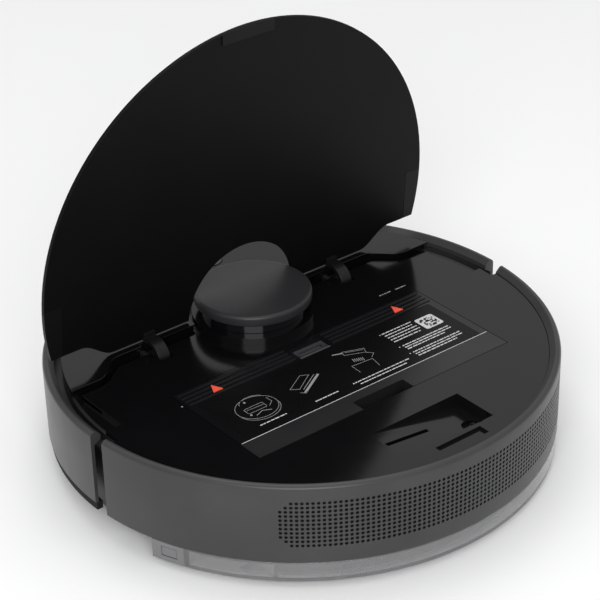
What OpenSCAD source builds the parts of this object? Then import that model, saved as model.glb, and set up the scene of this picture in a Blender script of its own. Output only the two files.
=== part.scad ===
// Robot vacuum and mop cleaner: a low round body with a hinged lid, a lidar tower, a lift-out dustbin,
// a slide-out water tank, two sprung drive wheels, a caster, a main brush and a side brush.
// Millimetres, +Z up, +Y is the driving direction. The origin is on the floor under the body's centre.
// The lid is drawn open, everything else at rest.

/* [Body] */
// Diameter of the round body
body_d = 350; // [300:1:420]
// Height of the rim above the floor
rim_z = 77.5; // [76:0.5:94]
// Height of the lower edge of the rear shell above the floor
shell_bottom_z = 20; // [20:0.5:21]
// Wall thickness of the rear shell and the bumper
shell_t = 2.5; // [2:0.1:3]
// Travel of the bumper
bumper_travel = 3.5; // [2:0.1:3.8]

/* [Lid] */
// Gap between the rim and the lid, measured on the radius
lid_inset = 13.5; // [13:0.1:15]
// Thickness of the lid
lid_t = 3; // [2.5:0.1:3.2]
// Angle of the open lid
lid_open = 85; // [75:1:86]
// Diameter of the lid's hinge pins
pin_d = 4; // [3:0.1:4.4]

/* [Lidar tower] */
// Diameter of the tower's cap
lidar_cap_d = 82; // [76:0.4:98.4]
// Height of the tower above the rim
lidar_h = 16.5; // [14:0.5:20]

/* [Wheels and brushes] */
// Diameter of the drive wheels
wheel_d = 64; // [53:0.5:64]
// Diameter of the main brush over its bristles
brush_d = 40; // [36:0.5:48]
// Reach of the side brush's arms
side_brush_r = 56; // [45:1:58]
// Diameter of the caster wheel
caster_d = 30; // [27:0.5:32]

/* [Tank and bin] */
// Height of the water tank's underside above the floor
tank_bottom_z = 5.5; // [5:0.5:8]
// Wall thickness of the water tank and the dustbin
tub_t = 2; // [1.6:0.1:2.4]
// Height of the dustbin's floor above the floor
bin_floor_z = 30.5; // [30:0.5:36]

/* [Fits] */
// Radial clearance of every running fit
run_gap = 0.05; // [0.03:0.01:0.08]
// Gap between pieces that slide past each other
slide_gap = 0.5; // [0.4:0.05:0.6]

/* [Hidden] */
$fn = 96;
eps = 0.01;
far = 2 * body_d;

// Plan positions are laid out for a 350 mm body and scale with it.
body_r = body_d / 2;
u = body_r / 175;

// Heights
floor_z = 10;
floor_t = 3;
deck_gap = 1;
deck_z = rim_z - lid_t - deck_gap;
deck_t = 3;
plate_z = deck_z - deck_t;
lid_in_z = rim_z - lid_t;
trough_z = deck_z - 13.5;
step_z = shell_bottom_z + 0.5;

// Radii of the body's rings
tub_r = body_r - 13;
tub_wall = 2.5;
rim_in_r = body_r - 4;
opening_r = body_r - 7.7;
rear_deck_r = opening_r - 0.3;
front_deck_r = body_r - 12.6;
lid_r = body_r - lid_inset;
bumper_end_y = -4;
shell_end_y = -15.5;

// S-shaped edges that cross the deck behind the lidar tower
s_in = 108 * u;
s_out = 134 * u;
lid_edge = [36.4 * u, 49.4 * u];
deck_edge = [43 * u, 56 * u];
lip_edge = [46 * u, 62.5 * u];
cover_edge = [48.5 * u, 65 * u];
s_steps = 10;

// Dustbin
bin_x = 106.2 * u;
bin_front_y = 3.5 * u;
bin_rear_y = -90 * u;
bin_split_y = -71 * u;
bin_cover_t = 2.5;
bay_x = 86.5 * u;
bay_front_y = -0.5 * u;
bay_rear_y = -86.5 * u;
bay_wall = 2;
bay_floor_z = bin_floor_z - slide_gap;
bin_tub_gap = 1;
mouth_x = 40 * u;
mouth_z = [34, 42];
filter_x = 60 * u;
filter_z = [38, 60];
pocket_x = 21.5 * u;
pocket_y = -79 * u;
pocket_z = deck_z - 9.5;
strip_y = -15.4 * u;
notch_x = 13;

// Lidar tower
lidar_base_r = lidar_cap_d / 2 + 2;
lidar_y = bin_front_y + 6.3 * u + lidar_base_r;
lidar_body_r = lidar_base_r - 3;
lidar_well_r = lidar_body_r + 0.2;
lid_cut_r = 1.13 * lidar_base_r - 3.1;
lid_cut_y = lidar_y - 2.5;
lidar_z = rim_z + lidar_h;
lidar_cap_t = 7.5;
lidar_foot_z = plate_z - 10;
window_r = lidar_cap_d / 2 - 5;
window_t = 2;
rotor_gap = 2;

// Lid hinge
hinge_x = 80 * u;
pin_r = pin_d / 2;
pin_y = 60.2 * u;
pin_z = lid_in_z - 7;
arm_w = 9;
arm_t = 3.2;
arm_r = 14;
foot_y = [-16.5, -10];
foot_t = 2.5;
boss_r = 4.5;
ear_t = 3;
arm_side_gap = 0.8;
arm_from = 150;
arm_to = 268;

// Brushes
brush_y = 30 * u;
brush_l = 166 * u;
brush_z = 1 + brush_d / 2;
brush_core_r = 9;
stub_r = 4;
housing_x = 90 * u;
housing_y = [bay_front_y + bay_wall, brush_y + brush_d / 2 + 4 * u];
housing_top_z = brush_z + brush_d / 2 + 5;
housing_step_y = brush_y + 0.2275 * brush_d;
housing_step_z = brush_z + 0.47 * brush_d + 2.4;
side_brush_pos = [100 * u, 105 * u];
side_shaft_r = 3;

// Wheels
wheel_x = 120 * u;
wheel_w = 22;
wheel_z = wheel_d / 2;
rim_r = wheel_z - 6;
axle_r = 4;
gearbox_x = 93 * u;
gearbox_w = 13;
pivot_y = -41 * u;
pivot_z = wheel_z + 2;
pivot_r = 3;
pivot_boss_r = 8;
caster_y = 128 * u;
caster_trail = 6;
caster_r = caster_d / 2;
caster_w = 17;
caster_axle_r = 2.5;
caster_stem_r = 4;
socket_r = 27;

// Fan
fan_y = -127 * u;
fan_r = 31;
fan_z = [step_z + 3, 58];

// Water tank
tank_r = body_r - 0.5;
tank_top_z = shell_bottom_z - 0.4;
tank_end_y = -53 * u;
tank_front_y = -95 * u;
tank_block_y = -75 * u;

// ---------- shared shapes ----------

module ring(r_in, r_out, z0, z1) {
  translate([0, 0, z0]) difference() {
    cylinder(r = r_out, h = z1 - z0);
    translate([0, 0, -1]) cylinder(r = r_in, h = z1 - z0 + 2);
  }
}

module disc(r, z0, z1) {
  translate([0, 0, z0]) cylinder(r = r, h = z1 - z0);
}

// A block between two corners
module block(x, y, z) {
  translate([x[0], y[0], z[0]]) cube([x[1] - x[0], y[1] - y[0], z[1] - z[0]]);
}

// A cylinder along X between two places
module rod_x(x, r, y = 0, z = 0) {
  translate([x[0], y, z]) rotate([0, 90, 0]) cylinder(r = r, h = x[1] - x[0]);
}

module both_sides() {
  children();
  mirror([1, 0, 0]) children();
}

// Height in Y of an S-shaped edge: edge[1] in the middle, edge[0] at the sides
function s_y(x, edge) =
  abs(x) <= s_in ? edge[1] :
  abs(x) >= s_out ? edge[0] :
  edge[0] + (edge[1] - edge[0]) * (1 + cos(180 * (abs(x) - s_in) / (s_out - s_in))) / 2;

function s_points(edge, shift = 0) = [
  [-far, edge[0] + shift],
  for (i = [0 : s_steps]) let (x = -s_out + (s_out - s_in) * i / s_steps) [x, s_y(x, edge) + shift],
  for (i = [0 : s_steps]) let (x = s_in + (s_out - s_in) * i / s_steps) [x, s_y(x, edge) + shift],
  [far, edge[0] + shift]
];

// Everything in front of an S-shaped edge, or behind it
module ahead_of(edge, z0, z1, shift = 0) {
  translate([0, 0, z0]) linear_extrude(z1 - z0)
    polygon(concat(s_points(edge, shift), [[far, far], [-far, far]]));
}

module behind(edge, z0, z1, shift = 0) {
  translate([0, 0, z0]) linear_extrude(z1 - z0)
    polygon(concat(s_points(edge, shift), [[far, -far], [-far, -far]]));
}

// A half turn of corner points for a rounded outer edge in an (r, z) profile
function corner(r, z, c, from, to, steps = 6) =
  [for (i = [0 : steps]) let (a = from + (to - from) * i / steps) [r + c * cos(a), z + c * sin(a)]];

// The outer wall shared by the bumper and the rear shell, as an (r, z) profile
function wall_profile(z0, inner_r, ledge_z) = concat(
  [[body_r - shell_t, z0]],
  corner(body_r - 0.8, z0 + 0.8, 0.8, -90, 0, 3),
  corner(body_r - 3.2, rim_z - 3.2, 3.2, 0, 90),
  [[rim_in_r, rim_z], [inner_r, ledge_z + 0.7], [inner_r, ledge_z - 2.5],
   [body_r - shell_t, ledge_z - 6]]
);

module wall(z0) {
  rotate_extrude($fn = 180) polygon(wall_profile(z0, opening_r, deck_z));
}

module front_of(y) {
  translate([-far, y, -far]) cube([2 * far, 2 * far, 2 * far]);
}

module rear_of(y) {
  translate([-far, y - 2 * far, -far]) cube([2 * far, 2 * far, 2 * far]);
}

// A wedge between two angles
function wedge_points(a0, a1) =
  concat([[0, 0]], [for (i = [0 : 8]) let (a = a0 + (a1 - a0) * i / 8) far * [cos(a), sin(a)]]);

module sector(a0, a1, z0, z1) {
  translate([0, 0, z0]) linear_extrude(z1 - z0) polygon(wedge_points(a0, a1));
}

// The plan area of the water tank, moved inwards by gap
module tank_zone(z0, z1, gap = 0) {
  translate([0, 0, z0]) linear_extrude(z1 - z0) polygon([
    [-far, tank_end_y - gap], [-142 * u - gap, tank_end_y - gap], [-100 * u - gap, tank_front_y - gap],
    [100 * u + gap, tank_front_y - gap], [142 * u + gap, tank_end_y - gap], [far, tank_end_y - gap],
    [far, -far], [-far, -far]
  ]);
}

// ---------- body frame ----------

module chassis() {
  color("#26272a") difference() {
    union() {
      difference() {
        disc(tub_r, floor_z, floor_z + floor_t);
        tank_zone(0, step_z, -slide_gap);
      }
      difference() {
        intersection() {
          disc(tub_r, floor_z, step_z + floor_t);
          tank_zone(0, far, -slide_gap - floor_t);
        }
        tank_zone(-1, far, -slide_gap);
      }
      both_sides() wheel_ears();
    }
    both_sides() wheel_wells();
    block([-housing_x + 2, housing_x - 2], [housing_y[0] + 2, housing_y[1] - 2], [0, floor_z + floor_t + 1]);
    block([-62 * u, 62 * u], [60 * u, 100 * u], [0, floor_z + floor_t + 1]);
    translate([0, caster_y, 0]) disc(socket_r - 2.5, 0, floor_z + floor_t + 1);
    translate(side_brush_pos) disc(side_shaft_r + 1, 0, floor_z + floor_t + 1);
  }
}

// Upright wall on the chassis, with the roof over the water tank and a flange that closes the gap
// behind the bumper's rim
flange_z = [62, 64];
module tub_wall() {
  color("#232427") difference() {
    union() {
      difference() {
        ring(tub_r - tub_wall, tub_r, floor_z + floor_t, plate_z);
        tank_zone(0, step_z + floor_t, -slide_gap - floor_t);
      }
      intersection() {
        union() {
          disc(tub_r, step_z, step_z + floor_t);
          ring(tub_r - tub_wall, tub_r, step_z, plate_z);
        }
        tank_zone(0, far, -slide_gap);
      }
      difference() {
        ring(tub_r - 1, body_r - 6.5, flange_z[0], flange_z[1]);
        rear_of(shell_end_y + 0.5);
      }
    }
    exhaust_window();
    for (a = lug_angles) rotate(a) bumper_lug(slide_gap, bumper_travel + 1);
  }
}

module wheel_ears() {
  for (x = [gearbox_x - 0.5 - ear_t, gearbox_x + gearbox_w + 0.5]) difference() {
    block([x, x + ear_t], [pivot_y - 6, pivot_y + 5], [floor_z + 1, pivot_z + 6]);
    rod_x([x - 1, x + ear_t + 1], pivot_r, pivot_y, pivot_z);
  }
}

module wheel_wells() {
  x0 = gearbox_x - 0.5;
  x1 = x0 + gearbox_w + 1;
  block([x0, x1], [pivot_y - 12, 20 * u], [0, floor_z + floor_t + 1]);
  block([x1 - 1, wheel_x + wheel_w / 2 + 3], [-wheel_z - 4, wheel_z + 4], [0, floor_z + floor_t + 1]);
}

// Window in the rear of the tub, through which the exhaust air leaves
module exhaust_window() {
  block([-100 * u, 100 * u], [-far, -100 * u], [grille_z[0], plate_z - 3]);
}

lug_angles = [28, 62, 118, 152];

// One lug of the bumper, or the slot that it slides in
module bumper_lug(gap = 0, run = 0) {
  block([tub_r - tub_wall - 3 - run, body_r - shell_t + 0.5], [-6 - gap - run, 6 + gap + run],
        [32 - gap, 36 + gap]);
}

module top_deck() {
  color("#17181a") difference() {
    union() {
      deck_plate();
      trough_walls();
      both_sides() hinge_well_walls();
      ring_at_lidar();
      both_sides() corner_floor();
      block([-41 * u, 40 * u], [-152 * u, -112 * u], [plate_z - 8, plate_z + eps]);
    }
    block([-bin_x - slide_gap, bin_x + slide_gap], [bin_rear_y - slide_gap, bin_front_y + slide_gap],
          [plate_z - 1, deck_z + 1]);
    both_sides() block([corner_x, far], [corner_y, deck_edge[0] + 1], [plate_z, deck_z + 1]);
    both_sides() hinge_well();
    both_sides() bracket_seat();
    tool_recess();
    rear_recess();
    for (b = button_places) translate([b[0], b[1], 0]) disc(button_stem_r + 0.4, plate_z - 1, deck_z + 1);
    translate([reset_pos[0], reset_pos[1], 0]) disc(reset_r + 0.3, plate_z - 1, deck_z + 1);
  }
}

module deck_plate() {
  difference() {
    union() {
      intersection() {
        disc(rear_deck_r, plate_z, deck_z);
        rear_of(shell_end_y - 0.5);
      }
      disc(front_deck_r, plate_z, deck_z);
    }
    trough(deck_edge, cover_edge, plate_z - 1, deck_z + 1);
    translate([0, lidar_y, 0]) disc(lidar_well_r, plate_z - 1, deck_z + 1);
  }
}

// Floor of the lowered corner on each side, where the lid's corner pieces lie
corner_x = 150 * u;
corner_y = -3 * u;
module corner_floor() {
  intersection() {
    disc(tub_r - tub_wall - 0.2, plate_z - 2, plate_z + eps);
    block([corner_x - 2, far], [corner_y - 2, deck_edge[0] + 2], [0, far]);
  }
}

// The band between two S-shaped edges
module trough(rear_edge, front_edge, z0, z1, grow = 0) {
  intersection() {
    ahead_of(rear_edge, z0, z1, -grow);
    behind(front_edge, z0, z1, grow);
  }
}

module trough_walls() {
  difference() {
    intersection() {
      trough(deck_edge, cover_edge, trough_z - 2, plate_z + eps, 2);
      disc(tub_r - tub_wall - 0.2, 0, far);
    }
    intersection() {
      trough(deck_edge, cover_edge, trough_z, far);
      disc(tub_r - tub_wall - 2.2, 0, far);
    }
    translate([0, lidar_y, 0]) disc(lidar_well_r, 0, far);
  }
}

module ring_at_lidar() {
  difference() {
    translate([0, lidar_y, 0]) ring(lidar_well_r, lidar_base_r + 5, trough_z - 2, deck_z);
    ahead_of(cover_edge, plate_z + eps, far);
  }
}

module hinge_well_walls() {
  x = arm_w / 2 + arm_side_gap + 2;
  block([hinge_x - x, hinge_x + x], [pin_y + foot_y[0] - 2.7, cover_edge[1] + 2],
        [pin_z - arm_r - 3, plate_z + eps]);
}

module hinge_well() {
  x = arm_w / 2 + arm_side_gap;
  block([hinge_x - x, hinge_x + x], [pin_y + foot_y[0] - 0.7, cover_edge[1]], [pin_z - arm_r - 1, far]);
}

module bracket_seat() {
  x = arm_w / 2 + arm_side_gap + ear_t;
  block([hinge_x - x, hinge_x + x], [pin_y - 4, cover_edge[1]], [trough_z, far]);
}

// Open box under the deck that takes the dustbin, with a ledge round its top
module bin_bay() {
  w = bay_wall;
  color("#1e1f22") difference() {
    union() {
      block([-bin_x - 3, bin_x + 3], [bin_rear_y - 3, bin_front_y + 3], [plate_z - 2.5, plate_z]);
      block([-bay_x - w, bay_x + w], [bay_rear_y - w, bay_front_y + w], [bay_floor_z - w, plate_z - 1]);
      block([-pocket_x - 2, pocket_x + 2], [bin_rear_y - 2.5, bay_rear_y], [pocket_z - 2, plate_z - 1]);
    }
    translate([0, lidar_y, 0]) disc(lidar_base_r + 5, 0, far);
    block([-bay_x, bay_x], [bay_rear_y, bay_front_y], [bay_floor_z, far]);
    block([-mouth_x, mouth_x], [bay_front_y - 1, bay_front_y + w + 1], mouth_z);
    block([-filter_x, filter_x], [bay_rear_y - w - 1, bay_rear_y + 1], filter_z);
    block([-pocket_x, pocket_x], [bin_rear_y - slide_gap, bay_rear_y + 1], [pocket_z, far]);
  }
}

// Sloping recess in the rear deck that stores the cleaning tool, with its slot and its round socket
recess_d = 8.5;
module tool_recess() {
  x = [-38 * u, 37 * u];
  y = [-149 * u, -115 * u];
  translate([0, y[1], 0]) rotate([90, 0, 0]) linear_extrude(y[1] - y[0]) polygon([
    [x[0], deck_z], [x[1], deck_z - recess_d], [x[1], deck_z + 1], [x[0], deck_z + 1]
  ]);
  block([-37 * u, -2 * u], [-131.8 * u, -128.4 * u], [deck_z - recess_d, deck_z + 1]);
  translate([26 * u, -142 * u, 0]) ring(2.5, 7.5, plate_z - 7, deck_z + 1);
  translate([26 * u, -142 * u, 0]) disc(3, deck_z - recess_d + 2.5, deck_z + 1);
}

module rear_recess() {
  block([-16 * u, 22 * u], [-161 * u, -152.5 * u], [deck_z - 2, deck_z + 1]);
}

grille_z = [32, 67 * rim_z / 77.5];
grille_half = 44;

module rear_shell() {
  color("#55565a") difference() {
    union() {
      wall(shell_bottom_z);
      ring(tub_r, body_r - shell_t + eps, shell_bottom_z, shell_bottom_z + 2.5);
    }
    front_of(shell_end_y);
    grille_cut();
  }
}

module grille_cut() {
  intersection() {
    ring(body_r - shell_t - 1, body_r + 1, grille_z[0], grille_z[1]);
    sector(-90 - grille_half, -90 + grille_half, 0, far);
  }
}

module exhaust_grille() {
  color("#4c4d51") intersection() {
    ring(body_r - 2, body_r, grille_z[0], grille_z[1]);
    sector(-90 - grille_half, -90 + grille_half, 0, far);
  }
}

cover_t = 2.5;
module front_cover() {
  color("#1c1d1f") difference() {
    cover_solid(0, deck_z, rim_z);
    cover_solid(2, deck_z - 1, rim_z - cover_t);
    for (b = button_places) translate([b[0], b[1], 0]) disc(button_r + 0.3, 0, far);
  }
  color("#1c1d1f") cover_lip();
}

// Thin lip along the cover's rear edge, notched for the hinge arms
lip_t = 1.2;
module cover_lip() {
  x = arm_w / 2 + arm_side_gap + ear_t;
  difference() {
    intersection() {
      disc(front_deck_r, rim_z - lip_t, rim_z);
      trough(lip_edge, cover_edge, rim_z - lip_t, rim_z, 0.5);
    }
    ahead_of(cover_edge, 0, far);
    translate([0, lidar_y, 0]) disc(lidar_base_r + 1.5, 0, far);
    both_sides() block([hinge_x - x, hinge_x + x], [0, far], [0, far]);
  }
}

module cover_solid(inset, z0, z1) {
  difference() {
    intersection() {
      disc(front_deck_r - inset, z0, z1);
      ahead_of(cover_edge, z0, z1, inset);
    }
    translate([0, lidar_y, 0]) disc(lidar_base_r + 1.5 + inset, z0 - 1, z1 + 1);
  }
}

module hinge_brackets() {
  x0 = arm_w / 2 + arm_side_gap;
  color("#8e9094") both_sides() for (x = [hinge_x + x0, hinge_x - x0 - ear_t]) difference() {
    block([x, x + ear_t], [pin_y - 4, cover_edge[1] - 0.2], [trough_z, pin_z + 4.5]);
    rod_x([x - 1, x + ear_t + 1], pin_r, pin_y, pin_z);
  }
}

// The pins that the lid and the two wheel modules turn on
module steel_pins() {
  x = arm_w / 2 + arm_side_gap + ear_t;
  x0 = gearbox_x - 0.5 - ear_t;
  color("#c9ccd1") both_sides() {
    rod_x([hinge_x - x, hinge_x + x], pin_r, pin_y, pin_z);
    rod_x([x0, x0 + gearbox_w + 1 + 2 * ear_t], pivot_r, pivot_y, pivot_z);
  }
}

// ---------- lidar tower ----------

shaft_r = 3;
module lidar_base() {
  color("#3a3b3e") translate([0, lidar_y, 0]) {
    disc(lidar_body_r, lidar_foot_z, deck_z + eps);
    disc(lidar_base_r, deck_z, window_z[0]);
    disc(shaft_r, window_z[0] - eps, window_z[1] - 1.5);
  }
}

window_z = [rim_z + 1, lidar_z - lidar_cap_t];
module lidar_window() {
  color("#0d0e10") translate([0, lidar_y, 0]) ring(window_r - window_t, window_r, window_z[0], window_z[1]);
}

module lidar_cap() {
  r = lidar_cap_d / 2;
  color("#47484b") translate([0, lidar_y, 0]) rotate_extrude($fn = 120) polygon(concat(
    [[0, window_z[1]], [r - 1, window_z[1]]],
    corner(r - 1, window_z[1] + 1, 1, -90, 0, 3),
    corner(r - 2.6, lidar_z - 2.6, 2.6, 0, 90),
    [[0, lidar_z]]
  ));
}

module lidar_rotor() {
  r = window_r - window_t - rotor_gap;
  color("#1a2a3a") translate([0, lidar_y, 0]) difference() {
    ring(shaft_r + run_gap, r, window_z[0] + 0.5, window_z[1] - 0.5);
    block([-4, 4], [-r - 1, -r + 3], [window_z[0] + 2, window_z[1] - 2]);
    block([9, 15], [-r - 1, -r + 6], [window_z[0] + 2, window_z[1] - 2]);
  }
}

// ---------- electrics ----------

module battery_pack() {
  color("#2f4f8f") block([-59 * u, 59 * u], [61.5 * u, 98 * u], [floor_z + floor_t, 55]);
}

module battery_door() {
  color("#1e1f21") block([-61.6 * u, 61.6 * u], [60.4 * u, 99.6 * u], [floor_z, floor_z + 3]);
}

board_y = [lidar_y + lidar_base_r + 8.2, 138 * u];
module main_board() {
  z = plate_z - 10;
  color("#1f6b3a") block([-70 * u, 70 * u], board_y, [z, z + 1.6]);
  color("#1f6b3a") for (x = [-60 * u, 60 * u], y = [board_y[0] + 3, board_y[1] - 3])
    translate([x, y, 0]) disc(2.5, z + 1.6 - eps, plate_z);
}

module cliff_sensor_windows() {
  color("#101114") for (a = [25, 72, 108, 155])
    rotate(a) block([143 * u, 151 * u], [-8, 8], [floor_z - 0.6, floor_z]);
}

module charge_contacts() {
  color("#cfd2d6") both_sides() block([38 * u, 60 * u], [112 * u, 121 * u], [floor_z - 0.8, floor_z]);
}

screw_places = [
  [-66 * u, 64 * u], [66 * u, 64 * u], [-66 * u, 96 * u], [66 * u, 96 * u],
  [-116 * u, 76 * u], [116 * u, 76 * u], [-70 * u, -60 * u], [70 * u, -60 * u], [0, -60 * u]
];
module underside_screws() {
  color("#b8bbc0") for (s = screw_places) translate([s[0], s[1], 0]) difference() {
    disc(3, floor_z - 0.8, floor_z);
    block([-2, 2], [-0.4, 0.4], [floor_z - 1, floor_z - 0.4]);
    block([-0.4, 0.4], [-2, 2], [floor_z - 1, floor_z - 0.4]);
  }
}

// ---------- suction ----------

module brush_housing() {
  x = housing_x;
  y = housing_y;
  z = floor_z + floor_t;
  color("#303236") difference() {
    union() {
      block([-x, x], [y[0], housing_step_y], [z, housing_top_z]);
      block([-x, x], y, [z, housing_step_z]);
    }
    block([-x + 4, x - 4], [y[0] + 2, housing_step_y - 2], [z - 1, housing_top_z - 2]);
    block([-x + 4, x - 4], [y[0] + 2, y[1] - 2], [z - 1, housing_step_z - 2]);
    block([-mouth_x, mouth_x], [y[0] - 1, y[0] + 3], mouth_z);
    rod_x([-x - 1, x + 1], stub_r + run_gap, brush_y, brush_z);
  }
}

// The main brush's gearbox beside its housing, and the side brush's motor
module brush_motors() {
  color("#3c3e42") difference() {
    union() {
      block([-housing_x - 15 * u, -housing_x], [18 * u, 52 * u], [floor_z + floor_t, 44]);
      translate(side_brush_pos) disc(13, floor_z + floor_t, 40);
    }
    rod_x([-housing_x - 3, -housing_x + 1], stub_r + 0.5, brush_y, brush_z);
    translate(side_brush_pos) disc(side_shaft_r + run_gap, 0, 30);
  }
}

module main_brush_core() {
  color("#c8452e") {
    rod_x([-brush_l / 2, brush_l / 2], brush_core_r, brush_y, brush_z);
    rod_x([-housing_x + 0.5, housing_x - 0.5], stub_r, brush_y, brush_z);
  }
}

fin_count = 6;
module main_brush_bristles() {
  r = brush_d / 2;
  color("#222326") translate([0, brush_y, brush_z]) difference() {
    for (i = [0 : fin_count - 1]) rotate([i * 360 / fin_count, 0, 0])
      block([-brush_l / 2 + 1, brush_l / 2 - 1], [-1.5, 1.5], [brush_core_r - 2, r - 0.1]);
    rod_x([-brush_l, brush_l], brush_core_r);
  }
}

module brush_guard() {
  x = housing_x;
  y = housing_y;
  color("#2a2c2f") difference() {
    block([-x - 2, x + 2], [y[0] - 2, y[1] + 2], [floor_z - 2, floor_z]);
    block([-x + 6, x - 6], [brush_y - brush_d / 2 + 2, brush_y + brush_d / 2 - 2], [0, floor_z + 1]);
  }
}

module side_brush_hub() {
  color("#e8e8e8") translate(side_brush_pos) {
    disc(9, 4.5, floor_z - 0.5);
    disc(side_shaft_r, floor_z - 1, 28);
  }
}

arm_angles = [-8, 112, 232];
module side_brush_bristles() {
  color("#dcdcdc") translate(side_brush_pos) difference() {
    for (a = arm_angles) rotate(a) block([7, side_brush_r], [-2.5, 2.5], [2, 4.5]);
    disc(7.5, 0, 2);
  }
}

module fan_housing() {
  color("#2d2f33") difference() {
    union() {
      translate([0, fan_y, 0]) disc(fan_r, fan_z[0], fan_z[1]);
      block([-20 * u, 20 * u], [-100 * u, bay_rear_y - bay_wall], [40, 56]);
      block([-22 * u, 22 * u], [-tub_r + tub_wall, -150 * u], [34, 56]);
    }
    translate([0, fan_y, 0]) disc(fan_r - 2, fan_z[0] + 2, fan_z[1] - 2);
    block([-18 * u, 18 * u], [-102 * u, bay_rear_y], [42, 54]);
    block([-20 * u, 20 * u], [-far, -148 * u], [36, 54]);
  }
}

module fan_motor() {
  color("#9a9da2") translate([0, fan_y, 0]) {
    disc(16, fan_z[0] + 2, 34);
    disc(fan_shaft_r, 34 - eps, fan_blade_z[1] + 1);
  }
}

fan_shaft_r = 2;
fan_blade_z = [37, 51];
blade_count = 9;
module fan_impeller() {
  r = fan_r - 6;
  color("#d8dadd") translate([0, fan_y, 0]) difference() {
    union() {
      disc(r, fan_blade_z[0], fan_blade_z[0] + 1.5);
      disc(6, fan_blade_z[0], fan_blade_z[1]);
      for (i = [0 : blade_count - 1]) rotate(i * 360 / blade_count)
        block([5, r - 1], [-0.7, 0.7], fan_blade_z);
    }
    disc(fan_shaft_r + run_gap, 0, far);
  }
}

module caster_socket() {
  color("#2d2f33") translate([0, caster_y, 0]) difference() {
    disc(socket_r, floor_z + floor_t, 46);
    disc(socket_r - 2.5, floor_z, 41);
    disc(caster_stem_r + run_gap, 30, 47);
  }
}

module caster_fork() {
  color("#47494d") translate([0, caster_y, 0]) {
    disc(14, caster_d + 2, caster_d + 5);
    disc(caster_stem_r, caster_d + 5 - eps, 45);
    for (x = [-caster_w / 2 - 3.5, caster_w / 2 + 1])
      block([x, x + 2.5], [-caster_trail - 5, -caster_trail + 10], [caster_r - 5, caster_d + 2 + eps]);
    rod_x([-caster_w / 2 - 2, caster_w / 2 + 2], caster_axle_r, -caster_trail, caster_r);
  }
}

module caster_wheel() {
  color("#dfe0e2") translate([0, caster_y - caster_trail, caster_r]) difference() {
    rod_x([-caster_w / 2, caster_w / 2], caster_r);
    rod_x([-caster_w, caster_w], caster_axle_r + run_gap);
  }
}

// ---------- drive wheels, drawn for the right side ----------

module wheel_gearbox() {
  x = [gearbox_x, gearbox_x + gearbox_w];
  color("#3a3c40") difference() {
    union() {
      rod_x(x, pivot_boss_r, pivot_y, pivot_z);
      rod_x(x, 16, 0, wheel_z);
      block(x, [pivot_y, 0], [wheel_z - 9, wheel_z + 10]);
      rod_x([gearbox_x, wheel_x + wheel_w / 2 + 1], axle_r, 0, wheel_z);
    }
    rod_x([0, far], pivot_r + run_gap, pivot_y, pivot_z);
  }
}

module wheel_rim() {
  x = [wheel_x - wheel_w / 2, wheel_x + wheel_w / 2];
  color("#8c8e92") difference() {
    rod_x(x, rim_r, 0, wheel_z);
    rod_x([0, far], axle_r + run_gap, 0, wheel_z);
    for (i = [0 : 5]) translate([0, 0, wheel_z]) rotate([i * 60, 0, 0])
      rod_x([x[1] - 6, far], 4, 0, 16);
  }
}

module tyre() {
  x = [wheel_x - wheel_w / 2 + 1, wheel_x + wheel_w / 2 - 1];
  color("#141416") difference() {
    rod_x(x, wheel_z, 0, wheel_z);
    rod_x([0, far], rim_r, 0, wheel_z);
    for (i = [0 : 23]) translate([0, 0, wheel_z]) rotate([i * 15, 0, 0])
      block([x[0] - 1, x[1] + 1], [-1.2, 1.2], [wheel_z - 1.6, wheel_z + 1]);
  }
}

// ---------- lid, drawn closed and then swung open ----------

module swing_open() {
  translate([0, pin_y, pin_z]) rotate([-lid_open, 0, 0]) translate([0, -pin_y, -pin_z]) children();
}

module lid_shape(z0, z1) {
  difference() {
    intersection() {
      translate([0, 0, z0]) cylinder(r = lid_r, h = z1 - z0, $fn = 180);
      behind(lid_edge, z0, z1);
    }
    translate([0, lid_cut_y, 0]) disc(lid_cut_r, z0 - 1, z1 + 1);
  }
}

module lid_panel() {
  color("#101113") swing_open() difference() {
    lid_shape(lid_in_z, rim_z);
    trim_zone();
  }
}

module trim_zone() {
  both_sides() block([148.5 * u, far], [-2 * u, far], [0, far]);
}

// The two corner pieces and the finger tab at the lid's free edge
module lid_trims() {
  color("#161719") swing_open() {
    intersection() {
      lid_shape(lid_in_z, rim_z);
      trim_zone();
    }
    intersection() {
      lid_shape(lid_in_z - 0.8, lid_in_z);
      block([-21 * u, 21 * u], [-far, -152.5 * u], [0, far]);
    }
  }
}

// Curved arms centred on the hinge pins, between two angles measured from +Y towards +Z
module lid_arms() {
  color("#232427") swing_open() both_sides() translate([hinge_x - arm_w / 2, pin_y, pin_z])
    rotate([90, 0, 90]) linear_extrude(arm_w) difference() {
      union() {
        difference() {
          circle(arm_r);
          circle(arm_r - arm_t);
          polygon(wedge_points(arm_to - 360, arm_from));
        }
        circle(boss_r);
        translate([foot_y[0], lid_in_z - pin_z - foot_t]) square([foot_y[1] - foot_y[0], foot_t]);
        rotate(arm_to - 3) translate([boss_r - 1, -1]) square([arm_r - boss_r, 3]);
      }
      circle(pin_r + run_gap);
      translate([-far, lid_in_z - pin_z]) square([2 * far, far]);
    }
}

// ---------- bumper ----------

bumper_z = 24;
bumper_window_half = 32;
bumper_window_z = [38, 60];
module bumper_shell() {
  color("#3b3c40") {
    difference() {
      wall(bumper_z);
      rear_of(bumper_end_y);
      bumper_window_cut(1);
    }
    for (a = lug_angles) rotate(a) bumper_lug();
  }
}

module bumper_window_cut(grow) {
  intersection() {
    ring(body_r - shell_t - grow, body_r + grow, bumper_window_z[0], bumper_window_z[1]);
    sector(90 - bumper_window_half, 90 + bumper_window_half, 0, far);
  }
}

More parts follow.
